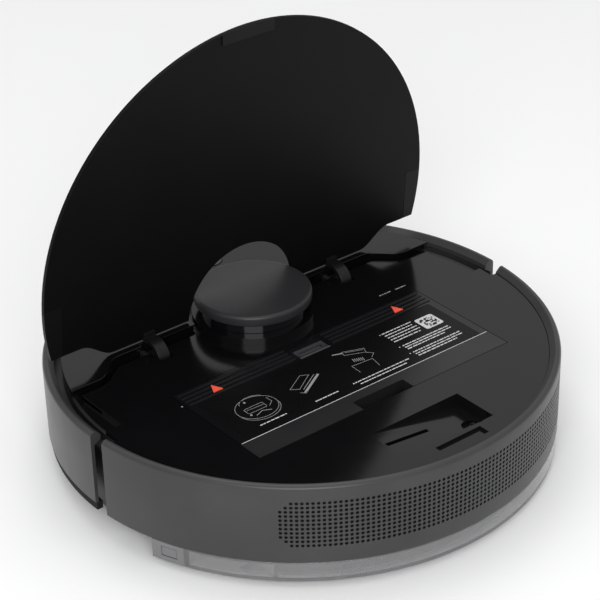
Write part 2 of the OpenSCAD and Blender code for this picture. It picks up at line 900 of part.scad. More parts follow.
module bumper_skirt() {
  color("#1a1b1d") difference() {
    ring(body_r - 5.5, body_r - 1, 18, bumper_z);
    rear_of(bumper_end_y);
  }
}

module bumper_window() {
  color("#0c0d10") bumper_window_cut(0);
}

// ---------- dustbin ----------

module dustbin_tub() {
  x = bay_x - bin_tub_gap;
  y = [bay_rear_y + bin_tub_gap, bay_front_y - bin_tub_gap];
  top = deck_z - bin_cover_t;
  color("#202124") difference() {
    union() {
      block([-x, x], y, [bin_floor_z, top]);
      block([-bin_x, bin_x], [bin_rear_y, bin_split_y - 0.1], [top - eps, deck_z]);
      block([-pocket_x - 2, pocket_x + 2], [y[0], pocket_y + 2], [pocket_z - 2, deck_z - 1]);
    }
    difference() {
      block([-x + tub_t, x - tub_t], [y[0] + tub_t, y[1] - tub_t], [bin_floor_z + tub_t, top]);
      block([-pocket_x - 2, pocket_x + 2], [y[0], pocket_y + 2], [pocket_z - 2, deck_z]);
    }
    block([-pocket_x, pocket_x], [bin_rear_y - 1, pocket_y], [pocket_z, deck_z + 1]);
    block([-mouth_x, mouth_x], [y[1] - 3, y[1] + 1], mouth_z);
    block([-filter_x + 4, filter_x - 4], [y[0] - 1, y[0] + 3], filter_z);
  }
}

module filter_frame() {
  y = bay_rear_y + bin_tub_gap + tub_t;
  color("#e9e9ea") difference() {
    block([-filter_x, filter_x], [y, y + 8], [filter_z[0] - 3, filter_z[1] + 1.5]);
    block([-filter_x + 3, filter_x - 3], [y - 1, y + 9], [filter_z[0], filter_z[1] - 1.5]);
  }
}

module hepa_filter() {
  y = bay_rear_y + bin_tub_gap + tub_t;
  color("#f4f2ec") block([-filter_x + 3, filter_x - 3], [y + 1, y + 7], [filter_z[0], filter_z[1] - 1.5]);
}

handle_t = 1.3;
handle_pin_y = strip_y + 1;
handle_pin_r = 0.8;
module dustbin_cover() {
  z = [deck_z - bin_cover_t, deck_z];
  color("#18191b") difference() {
    block([-bin_x, bin_x], [bin_split_y + 0.1, bin_front_y], z);
    block([-notch_x, notch_x], [strip_y - 1.5, bin_front_y - 5], [deck_z - handle_t - 0.3, deck_z + 1]);
    rod_x([-notch_x - 2, notch_x + 2], handle_pin_r + run_gap, handle_pin_y, handle_z);
  }
}

handle_z = deck_z - 0.95;
module bin_handle() {
  x = notch_x - 0.6;
  y = [handle_pin_y, bin_front_y - 9];
  z = [handle_z - handle_t / 2, handle_z + handle_t / 2];
  color("#3f4145") {
    difference() {
      block([-x, x], y, z);
      block([-x + 3, x - 3], [y[0] + 2, y[1] - 3], [0, far]);
    }
    rod_x([-notch_x - 1.5, notch_x + 1.5], handle_pin_r, handle_pin_y, handle_z);
  }
}

rib_count = 4;
rib_h = 0.5;
module ribbed_strips() {
  gap = (bin_front_y - 1.5 - strip_y) / rib_count;
  color("#2a2c30") both_sides() for (i = [0 : rib_count - 1])
    block([notch_x + 3, bin_x - 2], [strip_y + i * gap + 1, strip_y + i * gap + 3], [deck_z, deck_z + rib_h]);
}

// ---------- buttons ----------

button_r = 9;
button_stem_r = 3;
button_places = [[-18 * u, 128 * u], [18 * u, 128 * u]];
module push_button(place) {
  color("#2b2c2f") translate([place[0], place[1], 0]) {
    disc(button_r, rim_z - cover_t + 0.8, rim_z + 0.5);
    disc(button_stem_r, plate_z - 5, rim_z - cover_t + 0.8 + eps);
  }
}

reset_r = 1.8;
reset_pos = [87 * u, 14 * u];
module reset_button() {
  color("#5a5c60") translate([reset_pos[0], reset_pos[1], 0]) disc(reset_r, plate_z - 2, deck_z - 0.3);
}

// ---------- water tank and mop ----------

module water_tank() {
  t = tub_t;
  color([0.45, 0.45, 0.47, 0.6]) difference() {
    intersection() {
      disc(tank_r, tank_bottom_z, tank_top_z);
      tank_zone(0, far);
      rear_of(tank_block_y);
    }
    difference() {
      intersection() {
        disc(tank_r - t, tank_bottom_z + t, tank_top_z - t);
        tank_zone(0, far, t);
        rear_of(tank_block_y - t);
      }
      both_sides() block([120 * u, 122 * u], [-far, 0], [0, far]);
    }
    translate(plug_pos) disc(plug_r, tank_bottom_z + t, far);
  }
}

plug_pos = [60 * u, -120 * u];
plug_r = 8;
module tank_plug() {
  color("#34363a") translate(plug_pos) disc(plug_r, tank_top_z - tub_t, tank_top_z + 0.3);
}

module tank_end_blocks() {
  color("#5b5c60") difference() {
    intersection() {
      disc(tank_r, tank_bottom_z, tank_top_z);
      tank_zone(0, far);
      front_of(tank_block_y);
    }
    both_sides() latch_slot();
  }
}

latch_z = [9.5, 16];
latch_y = [-70 * u, -60 * u];
latch_in_x = tank_r - 20 * u;
module latch_slot() {
  block([latch_in_x - 4, far], [latch_y[0] - 0.4, latch_y[1] + 0.4], [latch_z[0] - 0.4, latch_z[1] + 0.4]);
}

module tank_latch() {
  color("#2b2c2f") translate([0, 0, latch_z[0]]) linear_extrude(latch_z[1] - latch_z[0]) intersection() {
    circle(tank_r - 0.4);
    translate([latch_in_x, latch_y[0]]) square([far, latch_y[1] - latch_y[0]]);
  }
}

module mop_plate() {
  color("#3a3c40") intersection() {
    disc(tank_r - 9 * u, tank_bottom_z - 2, tank_bottom_z);
    rear_of(tank_front_y - 4);
  }
}

module mop_cloth() {
  color("#5f7fa8") intersection() {
    disc(tank_r - 12 * u, 0.4, tank_bottom_z - 2);
    rear_of(tank_front_y - 7);
  }
}

chassis();
tub_wall();
top_deck();
bin_bay();
rear_shell();
exhaust_grille();
front_cover();
hinge_brackets();
steel_pins();
lidar_base();
lidar_window();
lidar_cap();
battery_pack();
battery_door();
main_board();
brush_housing();
brush_motors();
fan_housing();
fan_motor();
fan_impeller();
caster_socket();
cliff_sensor_windows();
charge_contacts();
underside_screws();
lid_panel();
lid_arms();
lid_trims();
bumper_shell();
bumper_skirt();
bumper_window();
dustbin_tub();
filter_frame();
hepa_filter();
dustbin_cover();
ribbed_strips();
bin_handle();
water_tank();
tank_end_blocks();
tank_plug();
mop_plate();
mop_cloth();
mirror([1, 0, 0]) tank_latch();  // left_tank_latch
tank_latch();  // right_tank_latch
push_button(button_places[0]);  // power_button
push_button(button_places[1]);  // home_button
reset_button();
mirror([1, 0, 0]) wheel_gearbox();  // left_wheel_gearbox
wheel_gearbox();  // right_wheel_gearbox
mirror([1, 0, 0]) wheel_rim();  // left_wheel_rim
mirror([1, 0, 0]) tyre();  // left_tyre
wheel_rim();  // right_wheel_rim
tyre();  // right_tyre
main_brush_core();
main_brush_bristles();
brush_guard();
side_brush_hub();
side_brush_bristles();
caster_fork();
caster_wheel();
lidar_rotor();
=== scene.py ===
# Looks of the robot vacuum and mop cleaner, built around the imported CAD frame.
import math
import random

import bmesh
import bpy
from mathutils import Matrix, Vector


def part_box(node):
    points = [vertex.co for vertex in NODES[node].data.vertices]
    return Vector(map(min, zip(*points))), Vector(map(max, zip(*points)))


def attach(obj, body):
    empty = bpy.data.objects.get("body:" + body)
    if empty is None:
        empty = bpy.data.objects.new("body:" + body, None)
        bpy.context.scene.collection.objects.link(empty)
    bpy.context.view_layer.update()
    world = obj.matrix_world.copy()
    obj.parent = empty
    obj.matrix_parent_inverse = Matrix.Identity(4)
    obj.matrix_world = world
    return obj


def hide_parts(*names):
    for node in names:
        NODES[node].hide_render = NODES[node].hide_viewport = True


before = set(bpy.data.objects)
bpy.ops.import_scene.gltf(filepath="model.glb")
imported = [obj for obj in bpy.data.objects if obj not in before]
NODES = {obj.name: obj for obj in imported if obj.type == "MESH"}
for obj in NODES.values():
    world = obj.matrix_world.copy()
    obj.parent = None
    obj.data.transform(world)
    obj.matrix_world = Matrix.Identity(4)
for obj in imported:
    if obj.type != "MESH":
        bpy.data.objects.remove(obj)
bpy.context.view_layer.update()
MM = 0.001
CREASE = math.radians(38)      # edges turned further than this are rounded, or split where nothing is rounded
INK_T = 0.05                   # thickness of a printed mark, mm
INK_LIFT = 0.04                # how far prints stand off the surface below, mm
rnd = random.Random(7)


# ---------- materials ----------

def node(nt, kind, **values):
    n = nt.nodes.new(kind)
    for key, value in values.items():
        if key in n.inputs:
            n.inputs[key].default_value = value
        else:
            setattr(n, key, value)
    return n


def noise(nt, coords, scale, detail=3.0, stretch=None):
    """A noise texture in object space; stretch scales the space along each axis first."""
    source = coords
    if stretch:
        mapping = node(nt, "ShaderNodeMapping")
        mapping.inputs["Scale"].default_value = stretch
        nt.links.new(coords, mapping.inputs["Vector"])
        source = mapping.outputs["Vector"]
    n = node(nt, "ShaderNodeTexNoise", Scale=scale, Detail=detail)
    nt.links.new(source, n.inputs["Vector"])
    return n.outputs["Fac"]


def ramp(nt, fac, low, high, a=0.3, b=0.7):
    r = node(nt, "ShaderNodeValToRGB")
    r.color_ramp.elements[0].position = a
    r.color_ramp.elements[0].color = (*low, 1)
    r.color_ramp.elements[1].position = b
    r.color_ramp.elements[1].color = (*high, 1)
    nt.links.new(fac, r.inputs["Fac"])
    return r.outputs["Color"]


def span(nt, fac, low, high):
    r = node(nt, "ShaderNodeMapRange")
    r.inputs["To Min"].default_value = low
    r.inputs["To Max"].default_value = high
    nt.links.new(fac, r.inputs["Value"])
    return r.outputs["Result"]


def surface(name, color, rough, vary=0.12, rough_vary=0.04, grain=0.03, grain_scale=1400,
            patch=22, stretch=None, **sockets):
    """A material with slightly uneven colour and gloss and a fine moulded or brushed grain."""
    m = bpy.data.materials.new(name)
    m.use_nodes = True
    nt = m.node_tree
    shader = nt.nodes["Principled BSDF"]
    coords = node(nt, "ShaderNodeTexCoord").outputs["Object"]
    low = [c * (1 - vary) for c in color]
    high = [min(1, c * (1 + vary)) for c in color]
    nt.links.new(ramp(nt, noise(nt, coords, patch), low, high), shader.inputs["Base Color"])
    uneven = noise(nt, coords, patch * 4, 5.0)
    nt.links.new(span(nt, uneven, max(0.01, rough - rough_vary), rough + rough_vary),
                 shader.inputs["Roughness"])
    bump = node(nt, "ShaderNodeBump", Strength=grain, Distance=0.0004)
    nt.links.new(noise(nt, coords, grain_scale, 2.0, stretch), bump.inputs["Height"])
    nt.links.new(bump.outputs["Normal"], shader.inputs["Normal"])
    for key, value in sockets.items():
        shader.inputs[key.replace("_", " ")].default_value = value
    return m


MAT = {
    "deck": surface("deck_gloss", (0.0035, 0.0035, 0.004), 0.13, grain=0.008, grain_scale=500, rough_vary=0.02,
                    Specular_IOR_Level=0.46),
    "cover": surface("cover_gloss", (0.005, 0.005, 0.006), 0.15, grain=0.008, grain_scale=500, rough_vary=0.02,
                     Specular_IOR_Level=0.5),
    "label": surface("label_film", (0.0035, 0.0035, 0.0038), 0.28, grain=0.01, Specular_IOR_Level=0.16),
    "band": surface("band_satin", (0.012, 0.012, 0.013), 0.30, grain=0.02),
    "shell": surface("shell_satin", (0.044, 0.044, 0.0455), 0.34, grain=0.05, grain_scale=2600,
                     Specular_IOR_Level=0.3),
    "skirt": surface("skirt_rubber", (0.012, 0.012, 0.0125), 0.6, grain=0.08, Specular_IOR_Level=0.1),
    "lid": surface("lid_satin", (0.0032, 0.0032, 0.0036), 0.45, grain=0.03, grain_scale=2000,
                   Specular_IOR_Level=0.10),
    "lid_top": surface("lid_top_gloss", (0.008, 0.008, 0.009), 0.12, grain=0.01, grain_scale=500),
    "trim": surface("trim_satin", (0.0045, 0.0045, 0.005), 0.40, grain=0.03, grain_scale=2000,
                    Specular_IOR_Level=0.14),
    "arm": surface("arm_satin", (0.007, 0.007, 0.0075), 0.34, grain=0.03, grain_scale=2000,
                   Specular_IOR_Level=0.3),
    "cap": surface("cap_satin", (0.026, 0.026, 0.028), 0.38, grain=0.05, grain_scale=2600,
                   Specular_IOR_Level=0.35),
    "black": surface("black_abs", (0.012, 0.012, 0.013), 0.42, grain=0.06, grain_scale=1500),
    "grey": surface("grey_nylon", (0.16, 0.16, 0.17), 0.48, grain=0.07, grain_scale=1200),
    "strip": surface("strip_satin", (0.008, 0.008, 0.009), 0.32, grain=0.03, Specular_IOR_Level=0.35),
    "handle": surface("handle_satin", (0.045, 0.046, 0.05), 0.30, grain=0.03),
    "window": surface("ir_window", (0.004, 0.004, 0.006), 0.08, grain=0.005, Coat_Weight=0.6),
    "rubber": surface("tyre_rubber", (0.016, 0.016, 0.017), 0.72, grain=0.25, grain_scale=900, rough_vary=0.08),
    "steel": surface("plain_steel", (0.55, 0.56, 0.58), 0.32, vary=0.06, grain=0.12, grain_scale=700,
                     stretch=(1, 1, 14), Metallic=1.0),
    "motor": surface("turned_metal", (0.50, 0.51, 0.53), 0.38, vary=0.06, grain=0.15, grain_scale=600,
                     stretch=(1, 1, 18), Metallic=1.0),
    "contact": surface("plated_contact", (0.80, 0.78, 0.72), 0.18, vary=0.04, grain=0.05, Metallic=1.0),
    "white": surface("white_nylon", (0.70, 0.70, 0.70), 0.35, vary=0.04, grain=0.04),
    "battery": surface("battery_sleeve", (0.03, 0.08, 0.26), 0.32, grain=0.10, grain_scale=260),
    "board": surface("solder_mask", (0.012, 0.11, 0.035), 0.30, vary=0.25, grain=0.06, grain_scale=700,
                     patch=160),
    "chip": surface("chip_epoxy", (0.014, 0.014, 0.015), 0.55, grain=0.12, grain_scale=3000),
    "core": surface("brush_core", (0.48, 0.06, 0.03), 0.42, grain=0.06),
    "bristle": surface("dark_bristle", (0.022, 0.022, 0.026), 0.55, vary=0.35, grain=0.3, grain_scale=2600,
                       patch=300),
    "bristle_light": surface("light_bristle", (0.50, 0.50, 0.49), 0.5, vary=0.2, grain=0.3, grain_scale=2600,
                             patch=300),
    "paper": surface("filter_paper", (0.74, 0.72, 0.66), 0.85, vary=0.06, grain=0.35, grain_scale=1800,
                     patch=120),
    "cloth": surface("microfibre", (0.09, 0.19, 0.34), 0.95, vary=0.22, grain=0.9, grain_scale=1300, patch=700,
                     Sheen_Weight=0.5),
    "ink": surface("white_ink", (0.62, 0.62, 0.62), 0.45, vary=0.10, grain=0.02, patch=400),
    "grey_ink": surface("grey_ink", (0.30, 0.30, 0.31), 0.45, vary=0.12, grain=0.02, patch=400),
    "coral": surface("coral_mark", (0.95, 0.115, 0.065), 0.35, vary=0.06, grain=0.02, patch=200),
    "clear": surface("smoky_clear", (0.80, 0.80, 0.81), 0.12, vary=0.03, rough_vary=0.03, grain=0.02,
                     Transmission_Weight=0.85, IOR=1.46),
    "frost": surface("frosted_end", (0.17, 0.17, 0.175), 0.30, vary=0.06, grain=0.04),
}

# Material of each node
LOOK = {
    "black": ["chassis", "tub_wall", "bin_bay", "brush_housing", "brush_guard", "battery_door", "caster_socket",
              "fan_housing", "brush_motors", "mop_plate"],
    "skirt": ["bumper_skirt"],
    "deck": ["top_deck", "front_cover", "lidar_base"],
    "cover": ["dustbin_cover"],
    "band": ["dustbin_tub"],
    "shell": ["rear_shell", "bumper_shell"],
    "lid": ["lid_panel"],
    "trim": ["lid_trims"],
    "arm": ["lid_arms"],
    "cap": ["lidar_cap"],
    "strip": ["ribbed_strips", "reset_button"],
    "handle": ["bin_handle", "power_button", "home_button"],
    "frost": ["tank_end_blocks", "left_tank_latch", "right_tank_latch"],
    "grey": ["tank_plug", "left_wheel_rim", "right_wheel_rim",
             "left_wheel_gearbox", "right_wheel_gearbox", "caster_fork", "fan_impeller"],
    "window": ["lidar_window", "bumper_window", "cliff_sensor_windows", "lidar_rotor"],
    "clear": ["water_tank"],
    "steel": ["hinge_brackets", "steel_pins", "underside_screws"],
    "motor": ["fan_motor"],
    "contact": ["charge_contacts"],
    "rubber": ["left_tyre", "right_tyre"],
    "white": ["caster_wheel", "filter_frame", "side_brush_hub"],
    "battery": ["battery_pack"],
    "board": ["main_board"],
    "core": ["main_brush_core"],
    "bristle": ["main_brush_bristles"],
    "bristle_light": ["side_brush_bristles"],
    "paper": ["hepa_filter"],
    "cloth": ["mop_cloth"],
}
# Edge rounding in millimetres; a node that isn't listed has EDGE
EDGE = 0.35
EDGES = {"ribbed_strips": 0.15, "steel_pins": 0.2, "underside_screws": 0.12, "top_deck": 0.8,
         "front_cover": 0.7,
         "lid_panel": 0.6, "lid_trims": 0.3, "dustbin_cover": 0.25, "bin_handle": 0.25, "reset_button": 0.15,
         "main_board": 0, "filter_frame": 0.2, "lidar_cap": 0, "fan_impeller": 0.15, "charge_contacts": 0.2,
         "cliff_sensor_windows": 0.15, "bumper_window": 0.3, "lidar_window": 0.3}


def paint(o, material):
    o.data.materials.clear()
    o.data.materials.append(material)


def finish_edges(o, width):
    """Smooth shading with small rounded edges, added as modifiers so the mesh itself stays as packed."""
    for p in o.data.polygons:
        p.use_smooth = True
    weld = o.modifiers.new("weld", "WELD")
    weld.merge_threshold = 2e-6
    if width:
        bevel = o.modifiers.new("edge", "BEVEL")
        bevel.width = width * MM
        bevel.segments = 2
        bevel.limit_method = "ANGLE"
        bevel.angle_limit = CREASE
        bevel.harden_normals = True
    else:
        split = o.modifiers.new("split", "EDGE_SPLIT")
        split.split_angle = CREASE


for look, names in LOOK.items():
    for name in names:
        o = NODES[name]
        if "custom_normal" in o.data.attributes:
            o.data.attributes.remove(o.data.attributes["custom_normal"])
        paint(o, MAT[look])
        finish_edges(o, EDGES.get(name, EDGE))
unpainted = sorted(set(NODES) - {n for names in LOOK.values() for n in names} - {"exhaust_grille"})
assert not unpainted, unpainted


def gloss_lid_top():
    """The lid's outer face is glossy; its inner face, which the open lid shows, is satin."""
    lid = NODES["lid_panel"]
    lid.data.materials.append(MAT["lid_top"])
    turn = lid.matrix_world.to_3x3()
    for p in lid.data.polygons:
        if (turn @ p.normal).y > 0.9:
            p.material_index = 1


gloss_lid_top()


# ---------- making pieces ----------

def piece(name, verts, faces, material, body, smooth=False):
    """A new mesh in millimetres that rides on a body."""
    mesh = bpy.data.meshes.new(name)
    mesh.from_pydata([[c * MM for c in v] for v in verts], [], faces)
    mesh.validate()
    o = bpy.data.objects.new(name, mesh)
    bpy.context.scene.collection.objects.link(o)
    for m in material if isinstance(material, list) else [material]:
        mesh.materials.append(m)
    for p in mesh.polygons:
        p.use_smooth = smooth
    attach(o, body)
    return o


class Builder:
    """Collects solids and thin bands, in millimetres, into one mesh."""

    def __init__(self):
        self.v, self.f = [], []

    def add(self, verts, faces):
        k = len(self.v)
        self.v += [tuple(p) for p in verts]
        self.f += [[i + k for i in face] for face in faces]

    def prism(self, outline, z0, z1):
        n = len(outline)
        nxt = outline[1:] + outline[:1]
        area = sum(p[0] * q[1] - q[0] * p[1] for p, q in zip(outline, nxt))
        pts = outline if area > 0 else outline[::-1]
        verts = [(x, y, z0) for x, y in pts] + [(x, y, z1) for x, y in pts]
        sides = [[i, (i + 1) % n, n + (i + 1) % n, n + i] for i in range(n)]
        self.add(verts, [list(range(n))[::-1], list(range(n, 2 * n))] + sides)

    def line(self, points, width, z0, z1, closed=False):
        """A band of that width along 2-D points, with mitred corners."""
        n = len(points)
        left, right = [], []
        for i, p in enumerate(points):
            a = points[i - 1] if (i or closed) else p
            b = points[(i + 1) % n] if (i < n - 1 or closed) else p
            da = Vector((p[0] - a[0], p[1] - a[1]))
            db = Vector((b[0] - p[0], b[1] - p[1]))
            da = da.normalized() if da.length else db.normalized()
            db = db.normalized() if db.length else da
            t = (da + db).normalized() if (da + db).length > 1e-6 else da
            k = width / 2 / max(0.5, t.dot(da))
            left.append((p[0] - t.y * k, p[1] + t.x * k))
            right.append((p[0] + t.y * k, p[1] - t.x * k))
        # Points run low left, low right, high left, high right, n of each
        verts = [(x, y, z) for z in (z0, z1) for side in (left, right) for x, y in side]
        faces = []
        for i in range(n if closed else n - 1):
            j = (i + 1) % n
            faces.append([i, j, n + j, n + i])
            faces.append([2 * n + i, 3 * n + i, 3 * n + j, 2 * n + j])
            faces.append([2 * n + i, 2 * n + j, j, i])
            faces.append([n + j, 3 * n + j, 3 * n + i, n + i])
        if not closed:
            faces.append([n, 3 * n, 2 * n, 0])
            faces.append([3 * n - 1, 4 * n - 1, 2 * n - 1, n - 1])
        self.add(verts, faces)

    def box(self, lo, hi):
        self.prism([(lo[0], lo[1]), (hi[0], lo[1]), (hi[0], hi[1]), (lo[0], hi[1])], lo[2], hi[2])

    def make(self, name, material, body, smooth=False):
        o = piece(name, self.v, self.f, material, body, smooth)
        bm = bmesh.new()
        bm.from_mesh(o.data)
        bmesh.ops.recalc_face_normals(bm, faces=bm.faces)
        bm.to_mesh(o.data)
        bm.free()
        return o


def arc(cx, cy, r, a0, a1, n, ry=None):
    return [(cx + r * math.cos(math.radians(a0 + (a1 - a0) * i / n)),
             cy + (ry or r) * math.sin(math.radians(a0 + (a1 - a0) * i / n))) for i in range(n + 1)]


def rounded(x0, x1, y0, y1, r, n=6):
    return (arc(x1 - r, y1 - r, r, 0, 90, n) + arc(x0 + r, y1 - r, r, 90, 180, n)
            + arc(x0 + r, y0 + r, r, 180, 270, n) + arc(x1 - r, y0 + r, r, 270, 360, n))


def top_of(name):
    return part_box(name)[1].z / MM


# ---------- exhaust grille: a perforated panel whose hole walls and hole bottoms are painted dark as shade ---

def make_grille():
    lo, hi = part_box("exhaust_grille")
    z0, z1 = lo.z / MM, hi.z / MM
    radius, depth = -lo.y / MM, 1.8
    half = 44.0                    # degrees from the middle to each end
    rows, cols = 11, 79
    n, hole = 12, 1.12             # sides and radius of a hole
    dz, da = (z1 - z0) / rows, 2 * half / cols
    verts, faces, tags = [], [], []

    def at(angle, z, d):
        a = math.radians(angle - 90)
        return ((radius - d) * math.cos(a), (radius - d) * math.sin(a), z)

    grid = {}

    def corner(i, j, d):
        if (i, j, d) not in grid:
            grid[(i, j, d)] = len(verts)
            verts.append(at(-half + i * da, z0 + j * dz, d))
        return grid[(i, j, d)]

    deg = math.degrees(1 / radius)
    for i in range(cols):
        # The last two columns at each end have fewer holes, which rounds the corners
        short = 2 - min(i, cols - 1 - i, 2)
        for j in range(rows):
            square = [corner(i + 1, j, 0), corner(i + 1, j + 1, 0), corner(i, j + 1, 0), corner(i, j, 0)]
            if min(j, rows - 1 - j) < short:
                faces.append([square[3], square[0], square[1], square[2]])
                tags.append(0)
                continue
            ca, cz = -half + (i + 0.5) * da, z0 + (j + 0.5) * dz
            front, back = [], []
            for k in range(n):
                t = math.radians(-45 + k * 360 / n)
                for ring, d, r in ((front, 0, hole), (back, depth, hole * 0.92)):
                    ring.append(len(verts))
                    verts.append(at(ca + r * math.cos(t) * deg, cz + r * math.sin(t), d))
            step = n // 4
            for q in range(4):
                a, b = square[q], square[(q + 1) % 4]
                arc_pts = [front[(q * step + s) % n] for s in range(step + 1)]
                faces.append([a, b] + arc_pts[::-1])
                tags.append(0)
            # Hole walls take the black material and each hole's closing bottom the dark epoxy: painted shade
            # inside the holes
            for k in range(n):
                m = (k + 1) % n
                faces.append([front[k], front[m], back[m], back[k]])
                tags.append(1)
            faces.append(back)
            tags.append(2)
    for i in range(cols):
        for j, flip in ((0, False), (rows, True)):
            f = [corner(i, j, 0), corner(i, j, depth), corner(i + 1, j, depth), corner(i + 1, j, 0)]
            faces.append(f[::-1] if flip else f)
            tags.append(0)
    for j in range(rows):
        for i, flip in ((0, True), (cols, False)):
            f = [corner(i, j, 0), corner(i, j, depth), corner(i, j + 1, depth), corner(i, j + 1, 0)]
            faces.append(f[::-1] if flip else f)
            tags.append(0)
    # Shell on the face; black walls and dark bottoms in the holes are painted shade, not a separate dark duct
    o = piece("grille_panel", verts, faces, [MAT["shell"], MAT["black"], MAT["chip"]], "body", smooth=True)
    for p, tag in zip(o.data.polygons, tags):
        p.material_index = tag
    split = o.modifiers.new("split", "EDGE_SPLIT")
    split.split_angle = math.radians(35)
    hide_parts("exhaust_grille")


make_grille()


# ---------- marks on the dustbin cover and the deck ----------

def dashes(b, x0, x1, y, z, seed, h):
    """A row of plain dashes where the real cover has print; nothing is spelled."""
    r = random.Random(seed)
    x = x0
    while x < x1 - 0.8:
        w = min(r.uniform(1.1, 4.2), x1 - x)
        b.line([(x, y), (x + w, y)], h, z, z + INK_T)
        x += w + r.uniform(0.45, 0.8)


def make_cover_print(cover_z):
    film = Builder()
    film.prism(rounded(-100.5, 100.5, -70.0, -16.4, 1.5), cover_z + 0.005, cover_z + 0.03)
    film.make("cover_label", MAT["label"], "dustbin_flap")
    z = cover_z + INK_LIFT
    text = Builder()
    # Three notes in small print, each opened by a dot
    for k in range(5):
        dashes(text, 48.5, 74.5 - (1.5 if k == 4 else 0), -27.2 - 3.2 * k, z, 11 + k, 1.0)
    for k in range(3):
        dashes(text, 49.5, 91 - 8 * (k == 2), -47.6 - 2.6 * k, z, 21 + k, 1.0)
    for k in range(3):
        dashes(text, 49.5, 91.5 - 7 * (k == 2), -58.2 - 2.7 * k, z, 31 + k, 1.0)
    for y in (-27.2, -47.6, -58.2):
        text.prism(arc(46.8, y, 0.5, 0, 330, 10), z, z + INK_T)
    dashes(text, -83.6, -62.1, -61.6, z, 41, 0.9)
    dashes(text, -39.1, -19.2, -62.8, z, 42, 0.9)
    dashes(text, -6.9, 41.8, -62.4, z, 43, 0.9)
    dashes(text, -3.0, 37.5, -65.6, z, 44, 0.9)
    text.make("cover_print", MAT["ink"], "dustbin_flap")


def make_cover_tile(z):
    """A pale tile with random cells in place of the square code."""
    tile, cells = Builder(), Builder()
    tile.prism(rounded(77.0, 92.4, -42.2, -27.6, 1.6), z, z + INK_T)
    r = random.Random(5)
    cell = 1.18
    for i in range(10):
        for j in range(9):
            if r.random() < 0.5:
                x, y = 78.8 + i * cell, -40.9 + j * cell * 1.05
                cells.box((x, y, z + INK_T), (x + cell * 0.98, y + cell * 1.03, z + 0.09))
    tile.make("cover_tile", MAT["ink"], "dustbin_flap")
    cells.make("cover_tile_cells", MAT["label"], "dustbin_flap")


def make_cover_art(z):
    """Plain line drawings in place of the three pictograms."""
    art = Builder()
    h = 0.32
    # A cleaner seen at a slant with its bin lifting out
    art.line(arc(-72, -43.2, 15.2, 0, 360, 40, 12.6)[:-1], h, z, z + INK_T, closed=True)
    art.line(arc(-72, -45.4, 15.2, 185, 355, 24, 12.6), h, z, z + INK_T)
    art.line(arc(-70.5, -35.6, 9.5, 10, 175, 20, 5.6), h, z, z + INK_T)
    art.line(rounded(-81, -66, -46.5, -40.5, 1.2), h, z, z + INK_T, closed=True)
    art.line([(-80, -42.5), (-66.6, -43.2)], h, z, z + INK_T)
    art.line([(-64.5, -47), (-60, -43.5), (-60.5, -38)], h, z, z + INK_T)
    art.line([(-78, -51), (-72, -48.6), (-66, -51.5)], h * 1.6, z, z + INK_T)
    art.prism(arc(-75.2, -34, 0.9, 0, 330, 10), z, z + INK_T)
    art.prism(arc(-80.6, -48.4, 0.9, 0, 330, 10), z, z + INK_T)
    # The filter leaving the bin
    art.line([(-42.8, -41), (-27, -31.6), (-22, -34.6), (-37.5, -44.6)], h, z, z + INK_T, closed=True)
    art.line([(-37.8, -50.4), (-16.5, -37.8)], 1.7, z, z + INK_T)
    art.line([(-36, -46.6), (-19, -36.4)], h * 1.4, z, z + INK_T)
    art.line([(-40, -48), (-37.8, -50.4), (-34.4, -49.6)], h, z, z + INK_T)
    # The brush held over the bin
    art.line([(5.4, -25.8), (12.6, -28.6)], 1.1, z, z + INK_T)
    art.line([(12.6, -27), (27.6, -32.6), (25.6, -37.4), (11.6, -31.4)], h, z, z + INK_T, closed=True)
    art.line([(14, -28.8), (26, -33.6)], h, z, z + INK_T)
    art.line([(24.6, -36.8), (28.8, -41.6), (24.4, -44.8)], h, z, z + INK_T)
    for k in range(6):
        art.line([(12.6 + k * 1.3, -38.4 - k * 0.5), (11.8 + k * 1.3, -42 - k * 0.5)], 0.5, z, z + INK_T)
    art.line([(21.6, -56), (23.6, -46.4), (6.6, -45.2), (6.2, -54.6)], h, z, z + INK_T)
    art.make("cover_art", MAT["grey_ink"], "dustbin_flap")


def make_arrows_and_edge(z):
    tri = Builder()
    for x in (-79.3, 77.8):
        tri.prism([(x - 3.8, -11.6), (x + 3.8, -11.6), (x, -3.2)], z + 0.16, z + 0.72)
    tri.make("arrow_marks", MAT["coral"], "dustbin_flap")

    edge = Builder()
    edge.line([(-105.4, -70.6), (105.4, -70.6)], 0.45, z - 0.03, z + 0.06)
    edge.make("cover_edge_line", MAT["ink"], "dustbin_flap")


def make_deck_print():
    small = Builder()
    zd = top_of("top_deck") + 0.01
    dashes(small, 81.6, 92.0, 13.8, zd, 51, 1.0)
    dashes(small, 96.4, 105.8, 13.4, zd, 52, 1.0)
    small.prism(arc(-108.5, -11.3, 0.7, 0, 330, 10), zd, zd + INK_T)
    small.make("deck_print", MAT["grey_ink"], "body")


def make_marks():
    cover_z = top_of("dustbin_cover")
    ink_z = cover_z + INK_LIFT
    make_cover_print(cover_z)
    make_cover_tile(ink_z)
    make_cover_art(ink_z)
    make_arrows_and_edge(ink_z)
    make_deck_print()


make_marks()


# ---------- brushes, filter and cloth ----------

